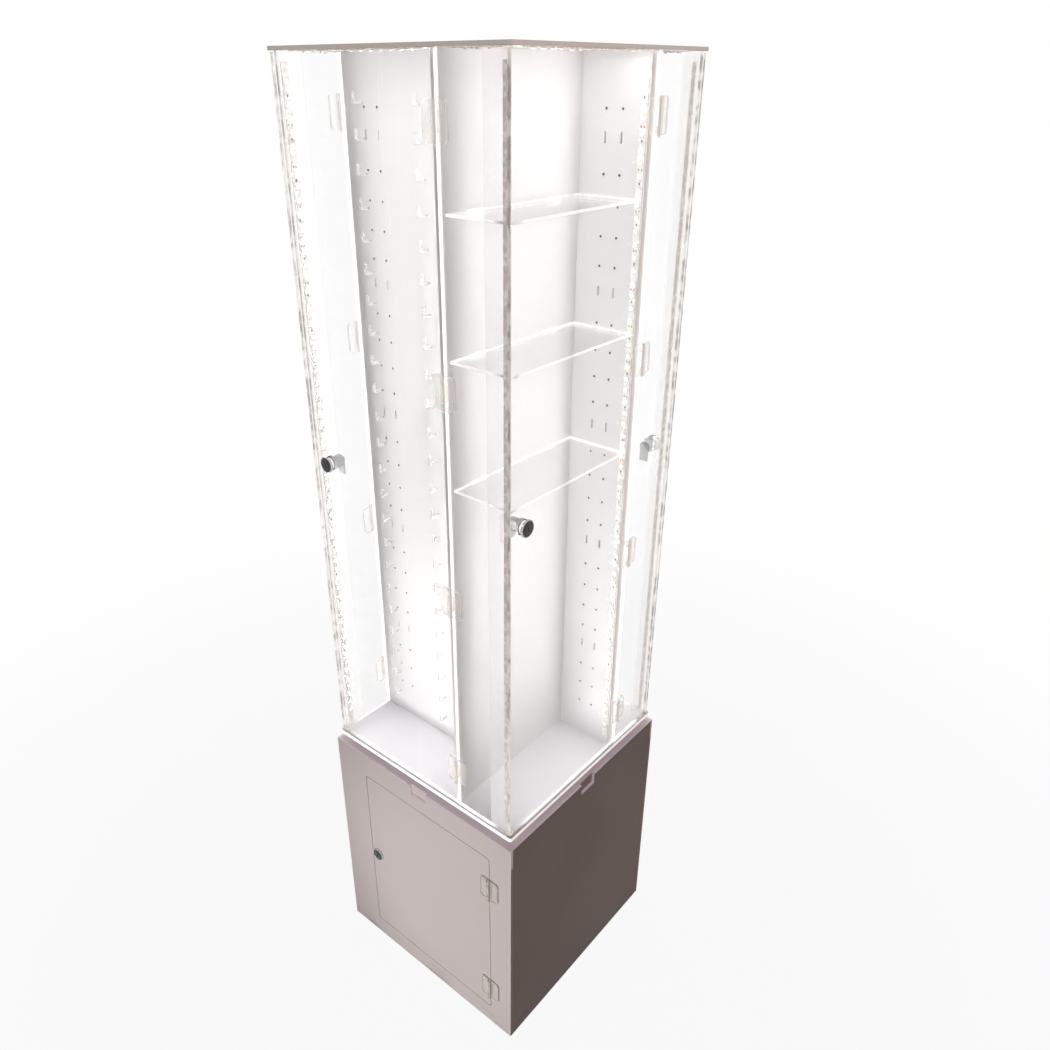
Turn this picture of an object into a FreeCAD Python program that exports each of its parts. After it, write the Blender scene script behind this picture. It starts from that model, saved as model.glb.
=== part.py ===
import FreeCAD, Part
import math
import os

# Rotating display case: a square storage cabinet carries a ball-bearing turntable, and a tall
# clear case with four hinged doors turns on it. Millimetres, +Z up, origin at the centre of
# the cabinet's foot, cabinet door facing -Y.

# Cabinet: outer skins over a carcass, with a finger notch in each skin's top edge
cabinet_width = 406.0
cabinet_height = 451.0
skin_thickness = 5.0
carcass_thickness = 9.0
board_thickness = 9.0
notch_width = 37.0
notch_depth = 20.0
notch_radius = 3.0

# Cabinet door, cut out of the front skin and closing on the carcass behind it
cabinet_door_sill = 40.0
cabinet_door_head = 48.0
cabinet_door_left_margin = 71.5
cabinet_door_right_margin = 45.5
cabinet_door_radius = 6.0
cabinet_door_gap = 1.0
cabinet_door_lap = 2.0
cabinet_door_back_gap = 0.4
cabinet_lower_hinge_margin = 52.0
cabinet_upper_hinge_margin = 66.0
cabinet_lock_edge = 15.0
cabinet_cam_gap = 1.0

# Turntable: two square plates with round races, and balls in a cage between them
bearing_height = 11.5
bearing_plate_side = 200.0
bearing_plate_thickness = 2.0
bearing_plate_radius = 12.0
bearing_bore_radius = 50.0
race_radius = 75.0
race_width = 12.0
race_gap = 2.0
ball_radius = 3.0
ball_count = 24
cage_width = 10.0
cage_thickness = 1.4
running_clearance = 0.05
bearing_screw_inset = 15.0
screw_head_radius = 4.0
screw_head_height = 2.0
screw_shank_radius = 2.0
screw_depth = 6.0
screw_clearance = 0.1

# Case: base and top plates, clear panes, and four inner walls set in a pinwheel
case_plate_side = 395.0
case_plate_radius = 4.0
base_plate_thickness = 8.0
top_plate_thickness = 5.0
glass_side = 389.0
glass_thickness = 5.0
glass_height = 1068.0
glass_edge_break = 0.5
door_gap = 1.5
door_clearance = 1.0
wall_thickness = 10.0
wall_offset = 86.5
hinge_axis_offset = 87.5
corner_strip_width = 37.0
corner_strip_thickness = 3.0

# Peg holes and keyhole slots, in two columns of the front and back walls
peg_hole_radius = 1.8
peg_inner_column = 125.0
peg_column_spacing = 25.0
peg_row_pitch = 39.1
peg_row_count = 25
peg_top_margin = 64.5
keyhole_period = 5
keyhole_first_row = 1
keyhole_length = 12.0
keyhole_slot_width = 2.4

# J hooks in two columns on the front wall
hook_outer_column = 154.0
hook_inner_column = 41.0
hook_row_pitch = 44.0
hook_row_count = 23
hook_top_margin = 59.5
hook_width = 4.0
hook_bar = 3.0
hook_reach = 15.0
hook_rise = 13.0
hook_peg_radius = 1.5
hook_peg_length = 7.0
hook_peg_clearance = 0.1
hook_bend_radius = 1.2

# Shelves on tabs, in the right and left compartments
shelf_thickness = 4.0
shelf_heights = (546.0, 722.0, 896.0)
shelf_front_gap = 4.5
shelf_side_gap = 2.0
shelf_tab_length = 30.0
shelf_tab_spacing = 150.0
shelf_tab_clearance = 0.1

# Light strips on the corner strips, on the inner walls and under the top plate
tape_width = 10.0
tape_thickness = 1.2
tape_edge_gap = 2.0
tape_end_gap = 12.0

# Clear surface hinges: two rimmed leaves whose knuckles turn on a steel pin
hinge_height = 45.0
hinge_leaf_reach = 19.0
hinge_leaf_thickness = 3.0
hinge_leaf_radius = 6.0
hinge_rim = 2.6
hinge_rim_depth = 0.8
hinge_pocket_radius = 2.0
hinge_knuckle_radius = 3.5
hinge_axis_out = 3.8
hinge_knuckle_clear = 4.2
hinge_web_lift = 0.4
hinge_end_knuckle = 11.0
hinge_axial_gap = 0.2
hinge_pin_radius = 1.5
hinge_pin_tail = 2.5
case_hinge_margin = 71.5
case_hinge_count = 4

# Cam locks in the doors, with a clear keeper for each glass door
lock_rise = 521.5
lock_edge = 31.5
lock_flange_radius = 12.5
lock_flange_height = 3.0
lock_flange_break = 0.9
lock_barrel_radius = 9.3
lock_barrel_clearance = 0.2
lock_nut_sides = 6
lock_nut_width = 22.0
lock_nut_height = 4.0
lock_plug_radius = 7.0
lock_plug_proud = 0.5
lock_key_width = 1.4
lock_key_length = 8.0
lock_key_depth = 6.0
lock_boss_side = 7.0
lock_boss_clearance = 0.05
lock_screw_radius = 5.0
lock_screw_height = 2.5
cam_width = 14.0
cam_length = 22.0
cam_thickness = 2.0
cam_gap = 0.3
cam_depth = 25.0
keeper_height = 40.0
keeper_reach = 10.0
keeper_thickness = 5.0
keeper_gap = 1.0

# One overrun serves every through cut
cut_overrun = 1.0

# Heights and half sizes that follow from the values above
quarter_turn = 90.0
faces = ("front", "right", "back", "left")
half_cabinet = cabinet_width / 2
half_glass = glass_side / 2
inner_glass = half_glass - glass_thickness
wall_end = inner_glass - door_clearance
wall_inner = wall_offset - wall_thickness
base_bottom = cabinet_height + bearing_height
case_floor = base_bottom + base_plate_thickness
case_ceiling = case_floor + glass_height
lock_height = case_floor + lock_rise
origin = FreeCAD.Vector(0, 0, 0)
x_axis = FreeCAD.Vector(1, 0, 0)
y_axis = FreeCAD.Vector(0, 1, 0)
z_axis = FreeCAD.Vector(0, 0, 1)
parallel_tolerance = 0.001


def box(x_low, x_high, y_low, y_high, z_low, z_high):
    corner = FreeCAD.Vector(x_low, y_low, z_low)
    return Part.makeBox(x_high - x_low, y_high - y_low, z_high - z_low, corner)


def edges_along(solid, axis):
    return [edge for edge in solid.Edges if edge.Curve.Direction.isParallel(axis, parallel_tolerance)]


def rounded(solid, axis, radius):
    return solid.makeFillet(radius, edges_along(solid, axis))


def cylinder(radius, start, axis, length):
    return Part.makeCylinder(radius, length, start, axis)


def turned(shape, face):
    copy = shape.copy()
    copy.rotate(origin, z_axis, quarter_turn * faces.index(face))
    return copy


def group(solids):
    return Part.makeCompound(solids)


def save(node, shape):
    shape.exportStep("parts/" + node + ".step")


# Finger notch: open at the top edge of a skin, with rounded lower corners
def notch_cut(y_low, y_high):
    notch_floor = cabinet_height - notch_depth
    tall = box(-notch_width / 2, notch_width / 2, y_low, y_high, notch_floor, cabinet_height + notch_depth)
    return rounded(tall, y_axis, notch_radius)


# Cabinet skins: front and back cover the ends of the two side skins
def front_skin_blank():
    skin = box(-half_cabinet, half_cabinet, -half_cabinet, -half_cabinet + skin_thickness, 0, cabinet_height)
    return skin.cut(notch_cut(-half_cabinet - cut_overrun, -half_cabinet + skin_thickness + cut_overrun))


def side_skin_blank():
    reach = half_cabinet - skin_thickness
    skin = box(-reach, reach, -half_cabinet, -reach, 0, cabinet_height)
    return skin.cut(notch_cut(-half_cabinet - cut_overrun, -reach + cut_overrun))


# Outline of the cabinet door, grown by a margin, as a rounded block through the front
door_left = -half_cabinet + cabinet_door_left_margin
door_right = half_cabinet - cabinet_door_right_margin
door_top = cabinet_height - cabinet_door_head


def cabinet_door_block(margin, y_low, y_high):
    block = box(door_left - margin, door_right + margin, y_low, y_high,
                cabinet_door_sill - margin, door_top + margin)
    return rounded(block, y_axis, cabinet_door_radius)


def front_skin():
    opening = cabinet_door_block(cabinet_door_gap, -half_cabinet - cut_overrun,
                                 -half_cabinet + skin_thickness + cut_overrun)
    return front_skin_blank().cut(opening)


# Carcass: front and back run the full inner width, the sides stand between them. The front is
# a frame of two stiles and two rails round the doorway, which the door laps over
carcass_outer = half_cabinet - skin_thickness
carcass_inner = carcass_outer - carcass_thickness


def carcass_front_board(x_low, x_high, z_low, z_high):
    return box(x_low, x_high, -carcass_outer, -carcass_inner, z_low, z_high)


def carcass_front():
    left = door_left + cabinet_door_lap
    right = door_right - cabinet_door_lap
    stiles = [carcass_front_board(-carcass_outer, left, 0, cabinet_height),
              carcass_front_board(right, carcass_outer, 0, cabinet_height)]
    rails = [carcass_front_board(left, right, 0, cabinet_door_sill + cabinet_door_lap),
             carcass_front_board(left, right, door_top - cabinet_door_lap, cabinet_height)]
    return group(stiles + rails)


def carcass_back():
    return box(-carcass_outer, carcass_outer, carcass_inner, carcass_outer, 0, cabinet_height)


def carcass_side(side):
    low, high = sorted((side * carcass_inner, side * carcass_outer))
    return box(low, high, -carcass_inner, carcass_inner, 0, cabinet_height)


# Boards that close the cabinet, the top one drilled for the turntable's screws
def bottom_board():
    return box(-carcass_inner, carcass_inner, -carcass_inner, carcass_inner, 0, board_thickness)


def bearing_screw_places():
    reach = bearing_plate_side / 2 - bearing_screw_inset
    return [(x * reach, y * reach) for x in (-1, 1) for y in (-1, 1)]


def screw_holes(z_low, z_high):
    radius = screw_shank_radius + screw_clearance
    return group([cylinder(radius, FreeCAD.Vector(x, y, z_low), z_axis, z_high - z_low)
                  for x, y in bearing_screw_places()])


def top_board():
    low = cabinet_height - board_thickness
    board = box(-carcass_inner, carcass_inner, -carcass_inner, carcass_inner, low, cabinet_height)
    hole_floor = cabinet_height - screw_depth - screw_clearance
    return board.cut(screw_holes(hole_floor, cabinet_height + cut_overrun))


# Turntable plate lying on z_face: race ring towards the balls, groove, bore and screw holes
ball_level = cabinet_height + bearing_height / 2


def bearing_plate(z_face, up):
    half = bearing_plate_side / 2
    plate_low, plate_high = sorted((z_face, z_face + up * bearing_plate_thickness))
    plate = rounded(box(-half, half, -half, half, plate_low, plate_high), z_axis, bearing_plate_radius)
    race_low, race_high = sorted((z_face, ball_level - up * race_gap / 2))
    race_height = race_high - race_low
    foot = FreeCAD.Vector(0, 0, race_low)
    ring = Part.makeCylinder(race_radius + race_width / 2, race_height, foot)
    plate = plate.fuse(ring)
    groove = Part.makeTorus(race_radius, ball_radius + running_clearance, FreeCAD.Vector(0, 0, ball_level))
    bore_foot = FreeCAD.Vector(0, 0, plate_low - bearing_height)
    bore = Part.makeCylinder(bearing_bore_radius, 2 * bearing_height + plate_high - plate_low, bore_foot)
    inner_race = race_radius - race_width / 2
    pit_low, pit_high = sorted((z_face + up * bearing_plate_thickness, ball_level))
    pit = Part.makeCylinder(inner_race, pit_high - pit_low, FreeCAD.Vector(0, 0, pit_low))
    holes = screw_holes(plate_low - cut_overrun, plate_high + cut_overrun)
    return plate.cut(pit).cut(bore).cut(groove).cut(holes).removeSplitter()


def bearing_screws(z_seat, up):
    screws = []
    for x, y in bearing_screw_places():
        seat = FreeCAD.Vector(x, y, z_seat)
        head = cylinder(screw_head_radius, seat, z_axis * up, screw_head_height)
        shank_end = bearing_plate_thickness + screw_depth
        shank = cylinder(screw_shank_radius, seat, z_axis * -up, shank_end)
        screws.append(head.fuse(shank).removeSplitter())
    return group(screws)


def ball_places():
    step = 2 * math.pi / ball_count
    return [FreeCAD.Vector(race_radius * math.cos(step * k), race_radius * math.sin(step * k), ball_level)
            for k in range(ball_count)]


def balls():
    return group([Part.makeSphere(ball_radius, place) for place in ball_places()])


def ball_cage():
    foot = FreeCAD.Vector(0, 0, ball_level - cage_thickness / 2)
    ring = Part.makeCylinder(race_radius + cage_width / 2, cage_thickness, foot)
    ring = ring.cut(Part.makeCylinder(race_radius - cage_width / 2, cage_thickness, foot))
    pockets = [Part.makeSphere(ball_radius + running_clearance, place) for place in ball_places()]
    return ring.cut(group(pockets))


# Plates below and above the clear panes, with round corners and broken edges
def case_plate(z_low, z_high):
    half = case_plate_side / 2
    plate = rounded(box(-half, half, -half, half, z_low, z_high), z_axis, case_plate_radius)
    outline = [edge for face in plate.Faces if face.normalAt(0, 0).isParallel(z_axis, parallel_tolerance)
               for edge in face.Edges]
    return plate.makeChamfer(glass_edge_break, outline)


def base_plate():
    holes = screw_holes(base_bottom - cut_overrun, base_bottom + screw_depth + screw_clearance)
    return case_plate(base_bottom, case_floor).cut(holes)


def top_plate():
    return case_plate(case_ceiling, case_ceiling + top_plate_thickness)


# Inner wall behind the front compartment, from the left panes to the right-hand wall
wall_front = -wall_offset
wall_back = -wall_inner


def plain_wall():
    return box(-wall_end, wall_inner, wall_front, wall_back, case_floor, case_ceiling)


def wall_drill(radius, x, z):
    start = FreeCAD.Vector(x, wall_front - cut_overrun, z)
    return cylinder(radius, start, y_axis, wall_thickness + 2 * cut_overrun)


def keyhole(x, z):
    slot = box(x - keyhole_slot_width / 2, x + keyhole_slot_width / 2, wall_front - cut_overrun,
               wall_back + cut_overrun, z, z + keyhole_length)
    return slot.fuse(wall_drill(peg_hole_radius, x, z))


def peg_cuts():
    cuts = []
    for row in range(peg_row_count):
        z = case_ceiling - peg_top_margin - row * peg_row_pitch
        for x in (-peg_inner_column, -peg_inner_column - peg_column_spacing):
            if row % keyhole_period == keyhole_first_row:
                cuts.append(keyhole(x, z))
            else:
                cuts.append(wall_drill(peg_hole_radius, x, z))
    return group(cuts)


def hook_places():
    tops = [case_ceiling - hook_top_margin - row * hook_row_pitch for row in range(hook_row_count)]
    return [(x, z) for z in tops for x in (-hook_outer_column, -hook_inner_column)]


def hook_drills():
    radius = hook_peg_radius + hook_peg_clearance
    depth = hook_peg_length + hook_peg_clearance
    drills = []
    for x, z in hook_places():
        mouth = FreeCAD.Vector(x, wall_front - cut_overrun, z)
        drills.append(cylinder(radius, mouth, y_axis, depth + cut_overrun))
    return group(drills)


# J hook: a peg in the wall, an arm out of it and an upright lip at the arm's end
def hook(x, z):
    tip = wall_front - hook_reach
    arm = box(x - hook_width / 2, x + hook_width / 2, tip, wall_front, z - hook_bar / 2, z + hook_bar / 2)
    lip = box(x - hook_width / 2, x + hook_width / 2, tip, tip + hook_bar, z - hook_bar / 2, z + hook_rise)
    bar = arm.fuse(lip).removeSplitter()
    outer = [edge for edge in edges_along(bar, x_axis) if edge.CenterOfMass.y < tip + hook_bar / 2]
    bar = bar.makeFillet(hook_bend_radius, outer)
    peg = cylinder(hook_peg_radius, FreeCAD.Vector(x, wall_front, z), y_axis, hook_peg_length)
    return bar.fuse(peg).removeSplitter()


# Shelf slots in a wall, drawn for the front wall and turned with it
def shelf_tab_places():
    middle = (wall_inner - wall_end) / 2
    return [middle + side * shelf_tab_spacing / 2 for side in (-1, 1)]


def shelf_block(x_low, x_high, y_low, y_high, bottom, margin):
    top = bottom + shelf_thickness
    return box(x_low - margin, x_high + margin, y_low, y_high, bottom - margin, top + margin)


def shelf_slots():
    slots = []
    for height in shelf_heights:
        for x in shelf_tab_places():
            slots.append(shelf_block(x - shelf_tab_length / 2, x + shelf_tab_length / 2,
                                     wall_front - cut_overrun, wall_back + cut_overrun,
                                     case_floor + height, shelf_tab_clearance))
    return group(slots)


def shelf(height):
    bottom = case_floor + height
    left = -wall_end + corner_strip_thickness + tape_thickness + shelf_side_gap
    right = wall_inner - tape_thickness - shelf_side_gap
    plate = shelf_block(left, right, -inner_glass + shelf_front_gap, wall_front, bottom, 0)
    plate = plate.makeChamfer(glass_edge_break, edges_along(plate, x_axis) + edges_along(plate, y_axis))
    for x in shelf_tab_places():
        tab = shelf_block(x - shelf_tab_length / 2, x + shelf_tab_length / 2,
                          wall_front - 2 * glass_edge_break, wall_back, bottom, 0)
        plate = plate.fuse(tab)
    return plate.removeSplitter()


# Clear door of a face: from the left-hand corner to the hinge line
door_edge = hinge_axis_offset - door_gap / 2
pane_edge = hinge_axis_offset + door_gap / 2
lock_x = -half_glass + lock_edge


def glass_door():
    door = box(-half_glass, door_edge, -half_glass, -inner_glass,
               case_floor + door_gap, case_ceiling - door_gap)
    door = door.makeChamfer(glass_edge_break, door.Edges)
    mouth = FreeCAD.Vector(lock_x, -half_glass - cut_overrun, lock_height)
    hole_radius = lock_barrel_radius + lock_barrel_clearance
    return door.cut(cylinder(hole_radius, mouth, y_axis, glass_thickness + 2 * cut_overrun))


# Fixed pane between the hinge line and the right-hand corner, and the strip bonded inside it
def fixed_pane():
    pane = box(pane_edge, wall_end, -half_glass, -inner_glass, case_floor, case_ceiling)
    return pane.makeChamfer(glass_edge_break, edges_along(pane, z_axis))


def corner_strip():
    strip_back = -inner_glass + corner_strip_thickness
    return box(wall_end - corner_strip_width, wall_end, -inner_glass, strip_back, case_floor, case_ceiling)


# Keeper on the left neighbour's strip, behind which the front door's cam turns
def lock_keeper():
    seat = -inner_glass + corner_strip_thickness
    back = -half_glass + cam_depth - keeper_gap
    return box(seat, seat + keeper_reach, back - keeper_thickness, back,
               lock_height - keeper_height / 2, lock_height + keeper_height / 2)


# Light tapes of one face: corner strip, right-hand wall, and two runs under the top plate
tape_low = case_floor + tape_end_gap
tape_high = case_ceiling - tape_end_gap
tape_outer = wall_end - tape_edge_gap
tape_inner = tape_outer - tape_width


def corner_tape():
    seat = -inner_glass + corner_strip_thickness
    return box(tape_inner, tape_outer, seat, seat + tape_thickness, tape_low, tape_high)


def wall_tape():
    return box(wall_inner - tape_thickness, wall_inner, -tape_outer, -tape_inner, tape_low, tape_high)


def top_front_tape():
    return box(-wall_end + tape_end_gap + tape_width, wall_inner - tape_end_gap, -tape_outer, -tape_inner,
               case_ceiling - tape_thickness, case_ceiling)


def top_end_tape():
    left = -wall_end + tape_edge_gap + corner_strip_thickness
    return box(left, left + tape_width, -tape_inner + tape_edge_gap, wall_front - tape_end_gap,
               case_ceiling - tape_thickness, case_ceiling)


# Hinge leaf on a face plane: plate on one side of the pin, with its own knuckles
def hinge_leaf(axis_x, face_y, centre_z, side, knuckle_spans):
    low_z = centre_z - hinge_height / 2
    high_z = centre_z + hinge_height / 2
    near = axis_x + side * hinge_knuckle_clear
    far = axis_x + side * hinge_leaf_reach
    plate_low, plate_high = sorted((near, far))
    front_y = face_y - hinge_leaf_thickness
    plate = box(plate_low, plate_high, front_y, face_y, low_z, high_z)
    outer = [edge for edge in edges_along(plate, y_axis) if abs(edge.CenterOfMass.x - far) < hinge_rim]
    plate = plate.makeFillet(hinge_leaf_radius, outer)
    pocket_low, pocket_high = sorted((near + side * hinge_rim, far - side * hinge_rim))
    pocket = box(pocket_low, pocket_high, front_y - cut_overrun, front_y + hinge_rim_depth,
                 low_z + hinge_rim, high_z - hinge_rim)
    leaf = plate.cut(rounded(pocket, y_axis, hinge_pocket_radius))
    axis_y = face_y - hinge_axis_out
    web_low, web_high = sorted((axis_x, near))
    for span_low, span_high in knuckle_spans:
        foot = FreeCAD.Vector(axis_x, axis_y, low_z + span_low)
        knuckle = cylinder(hinge_knuckle_radius, foot, z_axis, span_high - span_low)
        web = box(web_low, web_high, front_y, face_y - hinge_web_lift, low_z + span_low, low_z + span_high)
        leaf = leaf.fuse(knuckle.fuse(web))
    bore_foot = FreeCAD.Vector(axis_x, axis_y, low_z - cut_overrun)
    bore = cylinder(hinge_pin_radius + running_clearance, bore_foot, z_axis, hinge_height + 2 * cut_overrun)
    return leaf.cut(bore).removeSplitter()


# The fixed leaf holds the pin at both ends, the moving leaf turns on its middle
fixed_spans = ((0, hinge_end_knuckle), (hinge_height - hinge_end_knuckle, hinge_height))
moving_spans = ((hinge_end_knuckle + hinge_axial_gap, hinge_height - hinge_end_knuckle - hinge_axial_gap),)


def fixed_leaf(axis_x, face_y, centre_z):
    return hinge_leaf(axis_x, face_y, centre_z, 1, fixed_spans)


def moving_leaf(axis_x, face_y, centre_z):
    return hinge_leaf(axis_x, face_y, centre_z, -1, moving_spans)


def hinge_pin(axis_x, face_y, centre_z):
    foot = FreeCAD.Vector(axis_x, face_y - hinge_axis_out, centre_z - hinge_height / 2 - hinge_pin_tail)
    return cylinder(hinge_pin_radius, foot, z_axis, hinge_height + hinge_pin_tail)


def case_hinge_heights():
    first = case_floor + case_hinge_margin
    step = (glass_height - 2 * case_hinge_margin) / (case_hinge_count - 1)
    return [first + k * step for k in range(case_hinge_count)]


# Cam lock through a door whose outer face is at face_y: barrel with flange, and its nut
def lock_body(x, face_y, z, panel_thickness, depth):
    front = FreeCAD.Vector(x, face_y - lock_flange_height, z)
    flange = cylinder(lock_flange_radius, front, y_axis, lock_flange_height)
    circles = [edge for edge in flange.Edges if isinstance(edge.Curve, Part.Circle)]
    rim = [edge for edge in circles if edge.CenterOfMass.y < face_y - lock_flange_height / 2]
    flange = flange.makeFillet(lock_flange_break, rim)
    barrel_length = lock_flange_height + depth - cam_gap
    barrel = cylinder(lock_barrel_radius, front, y_axis, barrel_length)
    bore = cylinder(lock_plug_radius + running_clearance, front, y_axis, barrel_length)
    body = flange.fuse(barrel).cut(bore).removeSplitter()
    half_side_angle = math.pi / lock_nut_sides
    corner_radius = lock_nut_width / 2 / math.cos(half_side_angle)
    seat_y = face_y + panel_thickness
    points = []
    for corner in range(lock_nut_sides + 1):
        turn = half_side_angle * (2 * corner + 1)
        points.append(FreeCAD.Vector(x + corner_radius * math.cos(turn), seat_y,
                                     z + corner_radius * math.sin(turn)))
    nut = Part.Face(Part.makePolygon(points)).extrude(y_axis * lock_nut_height)
    nut_hole = cylinder(lock_barrel_radius + running_clearance, front, y_axis, barrel_length)
    return group([body, nut.cut(nut_hole)])


# Turning core of the lock: plug with key slot, cam hanging down, and the screw behind it
def lock_core(x, face_y, z, depth):
    front_y = face_y - lock_flange_height - lock_plug_proud
    plug_end = face_y + depth - cam_gap
    plug = cylinder(lock_plug_radius, FreeCAD.Vector(x, front_y, z), y_axis, plug_end - front_y)
    slot = box(x - lock_key_width / 2, x + lock_key_width / 2,
               front_y - cut_overrun, front_y + lock_key_depth,
               z - lock_key_length / 2, z + lock_key_length / 2)
    half_boss = lock_boss_side / 2
    cam_back = face_y + depth + cam_thickness
    boss = box(x - half_boss, x + half_boss, plug_end, cam_back, z - half_boss, z + half_boss)
    plug = plug.cut(slot).fuse(boss).removeSplitter()
    cam_front = FreeCAD.Vector(x, face_y + depth, z)
    head = cylinder(cam_width / 2, cam_front, y_axis, cam_thickness)
    bar = box(x - cam_width / 2, x + cam_width / 2, face_y + depth, cam_back, z - cam_length, z)
    half_hole = half_boss + lock_boss_clearance
    hole = box(x - half_hole, x + half_hole, face_y + depth, cam_back, z - half_hole, z + half_hole)
    cam = head.fuse(bar).cut(hole).removeSplitter()
    screw = cylinder(lock_screw_radius, FreeCAD.Vector(x, cam_back, z), y_axis, lock_screw_height)
    return group([plug, cam, screw])


# Cabinet door with its hinge leaves, pins and lock
cabinet_hinge_x = door_right + cabinet_door_gap / 2
cabinet_hinge_heights = (cabinet_door_sill + cabinet_lower_hinge_margin,
                         door_top - cabinet_upper_hinge_margin)
cabinet_lock_x = door_left + cabinet_lock_edge
cabinet_lock_z = (cabinet_door_sill + door_top) / 2
cabinet_cam_depth = skin_thickness + carcass_thickness + cabinet_cam_gap
cabinet_door_thickness = skin_thickness - cabinet_door_back_gap


def cabinet_door():
    door = cabinet_door_block(0, -half_cabinet, -half_cabinet + cabinet_door_thickness)
    mouth = FreeCAD.Vector(cabinet_lock_x, -half_cabinet - cut_overrun, cabinet_lock_z)
    hole_radius = lock_barrel_radius + lock_barrel_clearance
    return door.cut(cylinder(hole_radius, mouth, y_axis, skin_thickness + cut_overrun))


os.makedirs("parts", exist_ok=True)

# Cabinet
save("bottom_board", bottom_board())
save("top_board", top_board())
save("front_skin", front_skin())
save("back_skin", turned(front_skin_blank(), "back"))
save("left_skin", turned(side_skin_blank(), "left"))
save("right_skin", turned(side_skin_blank(), "right"))
save("carcass_front", carcass_front())
save("carcass_back", carcass_back())
save("carcass_left", carcass_side(-1))
save("carcass_right", carcass_side(1))

# Cabinet door and its fittings
cabinet_face = -half_cabinet
save("cabinet_door", cabinet_door())
save("cabinet_hinge_frame_leaves",
     group([fixed_leaf(cabinet_hinge_x, cabinet_face, z) for z in cabinet_hinge_heights]))
save("cabinet_hinge_door_leaves",
     group([moving_leaf(cabinet_hinge_x, cabinet_face, z) for z in cabinet_hinge_heights]))
save("cabinet_hinge_pins",
     group([hinge_pin(cabinet_hinge_x, cabinet_face, z) for z in cabinet_hinge_heights]))
save("cabinet_lock_body",
     lock_body(cabinet_lock_x, cabinet_face, cabinet_lock_z, cabinet_door_thickness, cabinet_cam_depth))
save("cabinet_lock_core", lock_core(cabinet_lock_x, cabinet_face, cabinet_lock_z, cabinet_cam_depth))

# Turntable
save("turntable_lower_plate", bearing_plate(cabinet_height, 1))
save("turntable_upper_plate", bearing_plate(base_bottom, -1))
save("turntable_lower_screws", bearing_screws(cabinet_height + bearing_plate_thickness, 1))
save("turntable_upper_screws", bearing_screws(base_bottom - bearing_plate_thickness, -1))
save("ball_cage", ball_cage())
save("balls", balls())

# Case plates, and inner walls: hooks and pegs in front and back, shelves to the right and left
save("base_plate", base_plate())
save("top_plate", top_plate())
save("display_wall_front", plain_wall().cut(peg_cuts()).cut(hook_drills()))
save("display_wall_back", turned(plain_wall().cut(peg_cuts()), "back"))
save("hooks", group([hook(x, z) for x, z in hook_places()]))
for side in ("right", "left"):
    save("display_wall_" + side, turned(plain_wall().cut(shelf_slots()), side))
    save("shelves_" + side, group([turned(shelf(height), side) for height in shelf_heights]))

# Clear panes, doors, hinges and locks of the four faces
case_face = -half_glass
for face in faces:
    save("fixed_pane_" + face, turned(fixed_pane(), face))
    save("glass_door_" + face, turned(glass_door(), face))
    save("door_hinge_leaves_" + face,
         turned(group([moving_leaf(hinge_axis_offset, case_face, z) for z in case_hinge_heights()]), face))
    save("lock_body_" + face,
         turned(lock_body(lock_x, case_face, lock_height, glass_thickness, cam_depth), face))
    save("lock_core_" + face, turned(lock_core(lock_x, case_face, lock_height, cam_depth), face))

# Like pieces of the four faces that share a node
pane_leaves = [fixed_leaf(hinge_axis_offset, case_face, z) for z in case_hinge_heights()]
pane_pins = [hinge_pin(hinge_axis_offset, case_face, z) for z in case_hinge_heights()]
save("pane_hinge_leaves", group([turned(leaf, face) for face in faces for leaf in pane_leaves]))
save("pane_hinge_pins", group([turned(pin, face) for face in faces for pin in pane_pins]))
save("corner_strips", group([turned(corner_strip(), face) for face in faces]))
save("lock_keepers", group([turned(lock_keeper(), face) for face in faces]))
save("corner_light_strips", group([turned(corner_tape(), face) for face in faces]))
save("wall_light_strips", group([turned(wall_tape(), face) for face in faces]))
top_runs = (top_front_tape(), top_end_tape())
save("top_light_strips", group([turned(run, face) for face in faces for run in top_runs]))
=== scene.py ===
import math

import bpy
from mathutils import Color, Euler, Matrix, Vector


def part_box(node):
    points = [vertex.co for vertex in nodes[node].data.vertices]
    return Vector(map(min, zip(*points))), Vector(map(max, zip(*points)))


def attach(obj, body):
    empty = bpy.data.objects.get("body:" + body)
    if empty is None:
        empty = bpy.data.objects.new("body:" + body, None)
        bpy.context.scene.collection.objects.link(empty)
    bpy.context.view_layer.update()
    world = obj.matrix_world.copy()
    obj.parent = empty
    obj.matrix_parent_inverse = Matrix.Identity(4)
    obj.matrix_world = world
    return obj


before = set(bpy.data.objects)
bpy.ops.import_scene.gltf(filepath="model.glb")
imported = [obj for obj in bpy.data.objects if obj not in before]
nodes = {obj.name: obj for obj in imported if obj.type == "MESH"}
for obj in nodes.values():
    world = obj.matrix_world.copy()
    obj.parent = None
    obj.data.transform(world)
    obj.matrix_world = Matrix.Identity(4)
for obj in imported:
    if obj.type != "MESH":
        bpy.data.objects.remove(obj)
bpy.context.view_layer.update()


# Cabinet boards
# The cabinet is a box of warm white faced board: a carcass, a bottom and a top board, and a skin glued
# over each side. Hands and mops have left the faces slightly uneven, and scuffed them along the foot.
mm = 0.001
board_white = (211, 203, 200)
board_shade = (200, 191, 187)
board_scuff = (158, 147, 140)
board_core_and_highlight = (226, 220, 217)
board_rough = 0.4
board_gloss = 0.14
cloud_scale = 4.0
grain_scale = 520.0
grain_depth = 0.04 * mm
drag_scale = 60.0
drag_stretch = (0.25, 0.25, 2.0)
scuff_height = 42 * mm
scuff_depth = 4 * mm
scuff_full = 1 * mm
worn_corner = 2.2 * mm
edge_depth = 20 * mm
notch_reach = 35 * mm
notch_fade = 5 * mm
# Painted light: cut edges near the top and the top board's rim glow in this tone, for the light of the case.
painted_rim_light = (126, 113, 119)
rim_reach = 34 * mm
rim_scale = 14.0
cabinet_low, cabinet_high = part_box("front_skin")
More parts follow.
